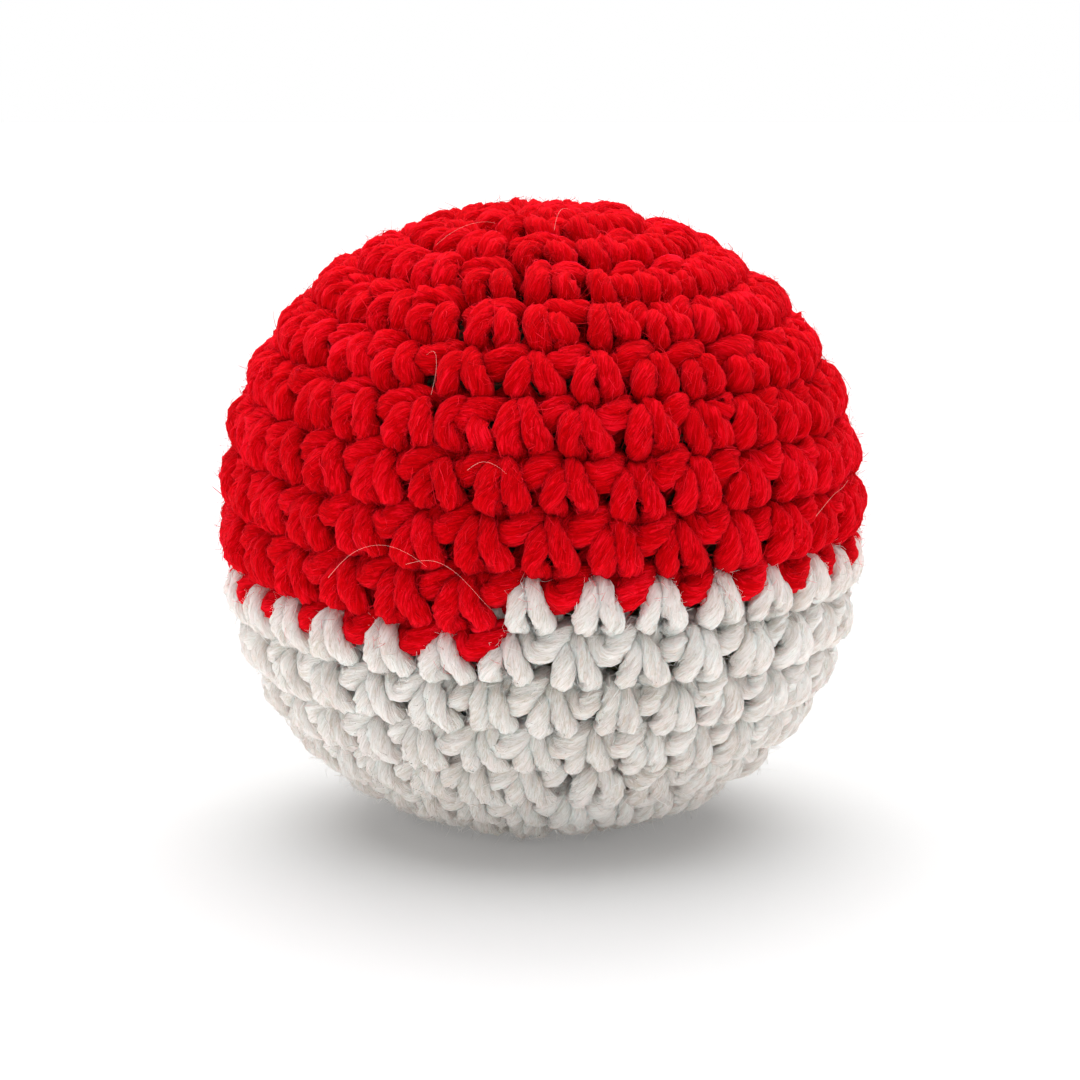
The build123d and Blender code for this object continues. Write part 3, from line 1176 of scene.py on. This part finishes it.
@dataclass
class Fuzz:
    """The loose fibres that stand off the yarn and soften it, as short loops and free ends."""

    surface: BallSurface
    deepest: float = 2.6  # below the tops of the stitches
    seed: int = 23

    def grow(
        self, yarns: Sequence[SweptYarn], growth: Growth, rng: np.random.Generator, seam: int = 0
    ) -> Hairs:
        """Grow fibres from the outward faces of some yarn.

        Args:
            yarns: The swept yarn.
            growth: The kind of fibre.
            rng: The source of all randomness.
            seam: Fibres wanted near the colour change only, where fluff has caught.

        Returns:
            The fibres.
        """
        skin = np.concatenate([yarn.rings.reshape(-1, 3) for yarn in yarns])
        sides = yarns[0].rings.shape[1]
        core = np.concatenate([np.repeat(yarn.strand.points, sides, axis=0) for yarn in yarns])
        ahead = np.concatenate(
            [np.repeat(np.gradient(yarn.strand.points, axis=0), sides, axis=0) for yarn in yarns]
        )
        caught = np.concatenate([np.repeat(yarn.strand.bleed, sides) for yarn in yarns])
        chosen = np.flatnonzero(caught > 0.04) if seam else np.arange(len(skin))
        wanted = seam or growth.count
        chosen = rng.choice(chosen, min(wanted * 9, len(chosen)), replace=False)
        normal = unit(skin[chosen] - core[chosen])
        outward = unit(skin[chosen] - np.array([0, 0, self.surface.widest_level]))
        facing = np.einsum("ij,ij->i", normal, outward)
        seen = np.flatnonzero((facing > -0.05) & (self.surface.depth(skin[chosen]) < self.deepest))[:wanted]
        chosen, normal = chosen[seen], normal[seen]
        count = len(chosen)
        along = unit(ahead[chosen])
        across = np.cross(normal, along)
        turn = rng.normal(0, growth.slant, (count, 1)) + math.pi * rng.integers(0, 2, (count, 1))
        heading = along * np.cos(turn) + across * np.sin(turn)
        beside = np.cross(normal, heading)
        length = np.clip(rng.lognormal(math.log(growth.length), 0.4, (count, 1)), 0.4, 1.9 * growth.length)
        rise = np.clip(rng.exponential(growth.rise, (count, 1)) + 0.03, 0.03, 1.0)
        curl = rng.normal(0, 0.16 * min(1, growth.slant * 2), (count, 1)) * length
        phase = rng.uniform(0, 2 * math.pi, (count, 1))
        loop = rng.random((count, 1)) < growth.looped
        share = np.linspace(0, 1, growth.points)[None, :]
        lift = np.where(loop, np.sin(math.pi * share) * rise, share**1.3 * rise * 1.3)
        lift -= growth.thickness / 3  # so that its root is in the yarn
        sway = curl * (np.sin(share * 4.2 + phase) - np.sin(phase))
        lines = (
            skin[chosen][:, None, :]
            + (share * length)[:, :, None] * heading[:, None, :]
            + lift[:, :, None] * normal[:, None, :]
            + sway[:, :, None] * beside[:, None, :]
        )
        radius = growth.thickness / 2 * rng.uniform(0.6, 1.25, count)
        return Hairs(above_table(lines), radius, rng.beta(2, 2, count))

    def build(
        self, swept: Sequence[tuple[Colour, SweptYarn]], materials: dict[Colour, bpy.types.Material]
    ) -> None:
        """Make the loose fibres of both colours, and the fluff that the red has left on the white.

        Args:
            swept: The cover's swept yarn.
            materials: The fibre material of each colour.
        """
        rng = np.random.default_rng(self.seed)
        for colour in Colour:
            own = [yarn for kind, yarn in swept if kind is colour]
            batches = [(f"{growth.word}_{number}", self.grow(own, growth, rng)) for growth, number in GROWN]
            if colour is Colour.RED:
                other = [yarn for kind, yarn in swept if kind is not colour]
                batches.append(("fluff_at_change", self.grow(other, STANDING, rng, seam=CAUGHT_FIBRES)))
            for word, hairs in batches:
                name = f"{colour.value}_{word}"
                add_piece(name, hairs.mesh(name), materials[colour], f"{colour.value}_yarn")


# The long stray hairs on the front, as azimuth in degrees, height and distance out in millimetres.
STRAY_HAIRS = (
    ((-128, 30.0, 0.6), (-123, 33.0, 0.9), (-117, 34.2, 0.8), (-112, 33.2, 0.5), (-109, 32.0, 0.4)),
    ((-113, 32.2, 0.4), (-108, 33.2, 0.8), (-103, 31.6, 0.9), (-99, 28.6, 0.7), (-96, 27.4, 0.3)),
    ((-111.5, 47.6, 0.3), (-111, 49.4, 0.7), (-112, 51, 0.8), (-113.5, 51.2, 0.6), (-114.5, 50.8, 0.4)),
    ((-103, 41.2, 0.3), (-101, 42.0, 0.6), (-99, 42.0, 0.6), (-97, 41.4, 0.5), (-96, 40.9, 0.3)),
    ((-36, 34.5, 0.2), (-34, 35.6, 0.8), (-32, 36.4, 1.2), (-31, 36.6, 1.7), (-30, 37.4, 2.2)),
    ((-133, 59.4, 0.3), (-131, 60.0, 0.8), (-127, 60.6, 1.0), (-121, 61.0, 0.8), (-116, 61.1, 0.4)),
    ((-84, 60.9, 0.2), (-82, 61.3, 0.6), (-78, 61.6, 0.9), (-72, 61.8, 0.9), (-64, 61.8, 0.6)),
)
STRAY_RADIUS = 0.016


def add_stray_hairs(surface: BallSurface) -> None:
    """Lay the long stray hairs over the front.

    Args:
        surface: The surface that they lie on.
    """
    material = STRAY_FIBRE.material()
    for number, line in enumerate(STRAY_HAIRS, start=1):
        azimuth, level, out = np.array(line, dtype=float).T
        run = np.array([surface.run_at_level(height) for height in level])
        points = surface.place(run, np.radians(azimuth), out)
        smooth = spline(with_ends(points), 8)
        name = f"stray_hair_{number}"
        mesh = Hairs(smooth[None], np.array([STRAY_RADIUS]), np.array([0.5])).mesh(name)
        add_piece(name, mesh, material, "white_yarn")


# ------------------------------------------------------------------ inside the cover


@dataclass
class LinerBag:
    """The stocking bag: its body bulges over the pellets, and its neck is gathered into a tie.

    Lengths are in millimetres. The outer skin runs from the bottom pole up to the tied neck and
    over the frill, and the inner skin lies one thickness inside the body.
    """

    half_width: float = 27.1
    rise: float = 20.2
    drop: float = 26.0
    widest_level: float = 30.4
    squareness: float = 2.2
    cloth: float = 0.5
    around: int = 168
    gathers: int = 22
    gather_drop: float = 11.0  # from the tie down to where the gathers fade
    bump: float = 4.6  # from one pellet's bump to the next
    throat_radius: float = 4.6  # where the body turns into the neck
    neck_radius: float = 2.2
    neck_level: float = 51.9
    frill_radius: float = 5.2
    frill_level: float = 53.5

    def body(self) -> np.ndarray:
        """The body's profile as rows of radius and level, from the bottom pole to the neck."""
        turn = np.linspace(-math.pi / 2, math.pi / 2, 90)
        across, along = squared_circle(turn, self.squareness)
        reach = np.where(along > 0, self.rise, self.drop)
        return np.stack([self.half_width * across, self.widest_level + reach * along], axis=1)

    def outer_profile(self) -> np.ndarray:
        """The outer skin's profile: the body, then the tied neck and the frill above it."""
        body = self.body()
        upper = body[len(body) // 2 :][::-1]
        throat_level = np.interp(self.throat_radius, upper[:, 0], upper[:, 1])
        neck = (
            (3.0, self.neck_level - 1.6),
            (self.neck_radius, self.neck_level - 1.0),
            (self.neck_radius, self.neck_level + 1.0),
            (3.1, self.frill_level - 0.75),
            (self.frill_radius - 0.3, self.frill_level - 0.25),
            (self.frill_radius - 0.2, self.frill_level),
            (3.4, self.frill_level - 0.05),
            (1.6, self.frill_level - 0.35),
            (0.0, self.frill_level - 0.5),
        )
        return np.concatenate([body[body[:, 1] < throat_level], neck])

    def inner_profile(self) -> np.ndarray:
        """The inner skin's profile, one thickness of cloth inside the body."""
        profile = self.body()
        profile[:, 0] = np.maximum(profile[:, 0] - self.cloth, 0)
        shrink = 1 - self.cloth / self.rise
        profile[:, 1] = self.widest_level + (profile[:, 1] - self.widest_level) * shrink
        return profile

    def skin(self, profile: np.ndarray) -> np.ndarray:
        """Turn a profile round Z with its gathers and the bumps of the pellets.

        Args:
            profile: Rows of radius and level.

        Returns:
            Points, one row of the grid for each row of the profile.
        """
        angle = np.arange(self.around) * (2 * math.pi / self.around)
        radius = np.repeat(profile[:, :1], self.around, axis=1)
        level = np.repeat(profile[:, 1:], self.around, axis=1)
        near_neck = np.clip(1 - (self.neck_level - level) / self.gather_drop, 0, 1) ** 1.6
        pleat = np.sin(angle * self.gathers + 0.6 * np.sin(3 * angle))[None, :] * near_neck
        spot = np.stack([radius * np.cos(angle), radius * np.sin(angle), level], axis=2)
        bumps = np.array([[noise.noise(Vector(point) / self.bump) for point in row] for row in spot])
        bumps *= 1 - near_neck
        swell = 0.32 * bumps - 0.12 + 0.10 * pleat * np.minimum(radius, 4)
        radius = np.maximum(radius + np.where(radius > 0.2, swell, 0), 0)
        return np.stack([radius * np.cos(angle), radius * np.sin(angle), level], axis=2)

    def build(self, material: bpy.types.Material) -> None:
        """Make the bag's piece.

        Args:
            material: Its cloth.
        """
        outer = self.skin(self.outer_profile())
        inner = self.skin(self.inner_profile())[::-1]
        points = np.concatenate([outer.reshape(-1, 3), inner.reshape(-1, 3)])
        faces = np.concatenate(
            [ring_quads(len(outer), self.around), ring_quads(len(inner), self.around) + outer.size // 3]
        )
        mesh = bpy.data.meshes.new("liner_bag_cloth")
        mesh.from_pydata((points * MM).tolist(), [], faces.tolist())
        work = bmesh.new()
        work.from_mesh(mesh)
        bmesh.ops.remove_doubles(work, verts=work.verts, dist=1e-6)
        work.to_mesh(mesh)
        work.free()
        mesh.shade_smooth()
        piece = add_piece("liner_bag_cloth", mesh, material, "liner_cloth", ["liner_bag"])


# The joining knot's place: its azimuth in degrees, and its distance from Z and its height in millimetres.
KNOT_AZIMUTH = -100.0
KNOT_RADIUS = 28.6
KNOT_LEVEL = 27.05
TAIL_RADIUS = 0.95  # of the yarn's woven-in ends, drawn tight
WALL_RADIUS = 28.4  # where they run inside the wall


def arc_points(radius: float, level: float, start: float, sweep: float, count: int = 16) -> list[tuple]:
    """Points on a level arc round the Z axis.

    Args:
        radius: Its radius, in millimetres.
        level: Its height.
        start: Its first azimuth, in degrees.
        sweep: The degrees that it turns through.
        count: Points to take.

    Returns:
        X, Y, Z for each point.
    """
    angles = np.radians(start + sweep * np.linspace(0, 1, count))
    return [(radius * math.cos(angle), radius * math.sin(angle), level) for angle in angles]


def knot_points(mirrored: bool) -> list[tuple]:
    """Points of one yarn's loop in the joining knot, a trefoil drawn up tight.

    Args:
        mirrored: Whether it is the other yarn's loop, turned over.

    Returns:
        X, Y, Z for each point, in millimetres.
    """
    flip = -1 if mirrored else 1
    middle = math.radians(KNOT_AZIMUTH)
    points = []
    for turn in np.linspace(0.25, 2 * math.pi + 0.05, 30):
        aside = 0.42 * (math.sin(turn) + 2 * math.sin(2 * turn)) * flip
        tall = 0.62 * (math.cos(turn) - 2 * math.cos(2 * turn))
        deep = KNOT_RADIUS - 0.42 * math.sin(3 * turn)
        x = deep * math.cos(middle) - aside * math.sin(middle)
        y = deep * math.sin(middle) + aside * math.cos(middle)
        points.append((x, y, KNOT_LEVEL + tall * flip))
    return points


COIL = 55.3  # the height of the first loops' end, where it lies coiled over the frill

# The yarn's ends and the tie: each one's name, slot, the CAD node that it stands for, radius and line.
INNER_YARNS = (
    (
        "red_end_tail_yarn",
        "red_yarn",
        "red_end_tail",
        TAIL_RADIUS,
        arc_points(WALL_RADIUS, 28.3, -103.25, -52.0),
    ),
    (
        "white_start_tail_yarn",
        "white_yarn",
        "white_start_tail",
        TAIL_RADIUS,
        arc_points(WALL_RADIUS, 25.8, -96.75, 52.0),
    ),
    ("colour_knot_red_loop", "red_yarn", "colour_knot", 0.62, knot_points(False)),
    ("colour_knot_white_loop", "white_yarn", "colour_knot", 0.55, knot_points(True)),
    (
        "white_closing_tail_yarn",
        "white_yarn",
        "white_closing_tail",
        TAIL_RADIUS,
        [(-1.6, 0, 3.1), (1, 0, 3.1), (4, 0, 3.05), (7, 0, 3.0), (10, 0, 3.2), (13, 0, 3.9), (16, 0, 5.1)]
        + [(18.5, 0, 6.4), (20.5, 0, 7.9), (22.5, 0, 9.9), (23.8, 0, 11.6)],
    ),
    (
        "red_start_tail_yarn",
        "red_yarn",
        "red_start_tail",
        TAIL_RADIUS,
        [(0, 0, 58.9), (0, 0, 57.6), (0.3, -0.1, 56.2), (1.8, -0.7, 55.5), (4.5, -1.8, COIL)]
        + [(7.3, -2.2, COIL), (9.3, 0.2, COIL), (9.6, 3.4, COIL), (8.4, 6.4, COIL), (5.6, 8.1, COIL)]
        + [(2.4, 8.6, COIL), (-0.8, 7.8, COIL), (-3.4, 6.5, COIL), (-5.0, 5.6, COIL)],
    ),
    (
        "neck_thread_turns",
        "sewing_thread",
        "neck_thread",
        0.29,
        [
            (2.53 * math.cos(turn), 2.53 * math.sin(turn), 51.1 + turn * 0.51 / (2 * math.pi))
            for turn in np.linspace(0, 6.4 * math.pi, 90)
        ],
    ),
)


def add_inner_yarns(materials: dict[str, bpy.types.Material]) -> None:
    """Make the woven-in ends, the knot and the tie as twisted yarn.

    Args:
        materials: The material of each slot.
    """
    for name, slot, node, radius, line in INNER_YARNS:
        smooth = spline(with_ends(np.array(line)), 4)
        strand = Strand(smooth, np.full(len(smooth), radius), np.zeros(len(smooth)))
        yarn = PliedSection(sides=16, groove=0.16, twist_mm=9 * radius, unevenness=0.03).sweep(strand)
        add_piece(name, tube_mesh(name, yarn, 40, (3, 3)), materials[slot], slot, [node])


# ------------------------------------------------------------------ the stage


# Each light's name, strength, angular size, tilt from straight above and turn round Z, in degrees.
SOFT_LIGHTS = (
    ("overhead_softbox", 4.0, 84.0, -12.0, 0.0),
    ("back_softbox", 1.3, 50.0, -48.0, 0.0),
    ("left_softbox", 0.48, 60.0, 75.0, -75.0),
    ("right_softbox", 0.2, 60.0, 75.0, 75.0),
    ("front_fill", 0.1, 40.0, 86.0, 0.0),
)


@dataclass
class Stage:
    """The pale floor, the soft studio light and the camera."""

    centre: Vector
    half_width: float
    elevation: float = math.radians(12.0)
    distance: float = 0.45
    share_of_frame: float = 0.598  # the ball's width in the picture
    right: float = 0.0023  # of the picture's middle, as a share of its width
    up: float = 0.0268
    room_light: float = 0.29
    table_glow: float = 0.16
    paper: str = "f6f6f6"  # the floor, as it lights the ball
    paper_seen: str = "c2c2c2"  # the floor, as the camera sees it

    def build(self) -> None:
        """Set up the whole stage."""
        self.add_floor()
        self.add_lights()
        self.add_camera()

    def add_floor(self) -> None:
        """Lay a matt, pale floor that glows a little, as a lit table does, so its shadows stay light."""
        bpy.ops.object.select_all(action="DESELECT")
        bpy.ops.mesh.primitive_plane_add(size=1.2, location=(0, 0, 0))
        floor = bpy.context.object
        floor.name = "studio_floor"
        material, tree = new_material("matt_white_paper")
        rays = add_node(tree, "ShaderNodeLightPath")
        paper = add_node(
            tree,
            "ShaderNodeMix",
            {"data_type": "RGBA"},
            values={MIX_FIRST: linear(self.paper), MIX_SECOND: linear(self.paper_seen)},
            links={0: rays.outputs["Is Camera Ray"]},
        )
        finish_surface(
            tree,
            values={
                "Roughness": 1.0,
                "Specular IOR Level": 0.0,
                "Emission Color": (1, 1, 1, 1),
                "Emission Strength": self.table_glow,
            },
            links={"Base Color": paper.outputs[2]},
        )
        floor.data.materials.append(material)
        floor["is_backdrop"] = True

    def add_lights(self) -> None:
        """Hang a large soft light above and let a white room fill the shadows."""
        world = bpy.data.worlds.new("white_studio")
        bpy.context.scene.world = world
        world.use_nodes = True
        tree = world.node_tree
        tree.nodes.clear()
        rays = add_node(tree, "ShaderNodeLightPath")
        brightness = add_node(
            tree,
            "ShaderNodeMapRange",
            values={"To Min": self.room_light, "To Max": 1.0},
            links={"Value": rays.outputs["Is Camera Ray"]},
        )
        room = add_node(
            tree,
            "ShaderNodeBackground",
            values={"Color": (1, 1, 1, 1)},
            links={"Strength": brightness.outputs[0]},
        )
        add_node(tree, "ShaderNodeOutputWorld", links={"Surface": room.outputs[0]})
        for name, strength, spread, tilt, turn in SOFT_LIGHTS:
            bpy.ops.object.light_add(type="SUN", location=(0, 0, 0.9))
            light = bpy.context.object
            light.name = name
            light.data.energy = strength
            light.data.angle = math.radians(spread)
            light.rotation_euler = (math.radians(tilt), 0, math.radians(turn))

    def add_camera(self) -> None:
        """Put the camera in front, a little above the ball, and frame it."""
        away = Vector((0, -math.cos(self.elevation), math.sin(self.elevation)))
        frame_width = 2 * self.half_width / self.share_of_frame
        screen_up = Vector((0, math.sin(self.elevation), math.cos(self.elevation)))
        target = self.centre - screen_up * (self.up * frame_width) - Vector((self.right * frame_width, 0, 0))
        bpy.ops.object.camera_add(location=target + away * self.distance)
        camera = bpy.context.object
        camera.rotation_euler = (-away).to_track_quat("-Z", "Y").to_euler()
        camera.data.sensor_width = 36.0
        camera.data.lens = 36.0 * self.distance / frame_width
        camera.data.clip_start = 0.01
        bpy.context.scene.camera = camera
        bpy.context.scene.view_settings.view_transform = "Standard"


def main() -> None:
    """Build the ball and its stage, and measure the boxes of the CAD and the visual pieces."""
    low, high = (Vector(corner) for corner in CAD_BOX)
    stage = Stage(centre=(low + high) / 2, half_width=(high.x - low.x) / 2)
    stage.build()
    surface = BallSurface(half_width=(high.x - low.x) / 2 / MM, height=(high.z - low.z) / MM)
    cover = CrochetCover(surface)
    materials = {Colour.RED: RED_YARN.material(), Colour.WHITE: WHITE_YARN.material()}
    swept = cover.build(materials)
    Fuzz(surface).build(swept, {Colour.RED: RED_FIBRE.material(), Colour.WHITE: WHITE_FIBRE.material()})
    add_stray_hairs(surface)
    LinerBag().build(LINER_CLOTH.material())
    add_inner_yarns(
        {
            "red_yarn": materials[Colour.RED],
            "white_yarn": materials[Colour.WHITE],
            "sewing_thread": TIE_THREAD.material(),
        }
    )
    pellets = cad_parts["pellets"]
    pellets.data.materials.clear()
    pellets.data.materials.append(PELLET_PLASTIC.material())
    boxes = {"cad": CAD_BOX, "visual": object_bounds()}
    {name: [list(corner) for corner in box] for name, box in boxes.items()}


if __name__ == "__main__":
    main()
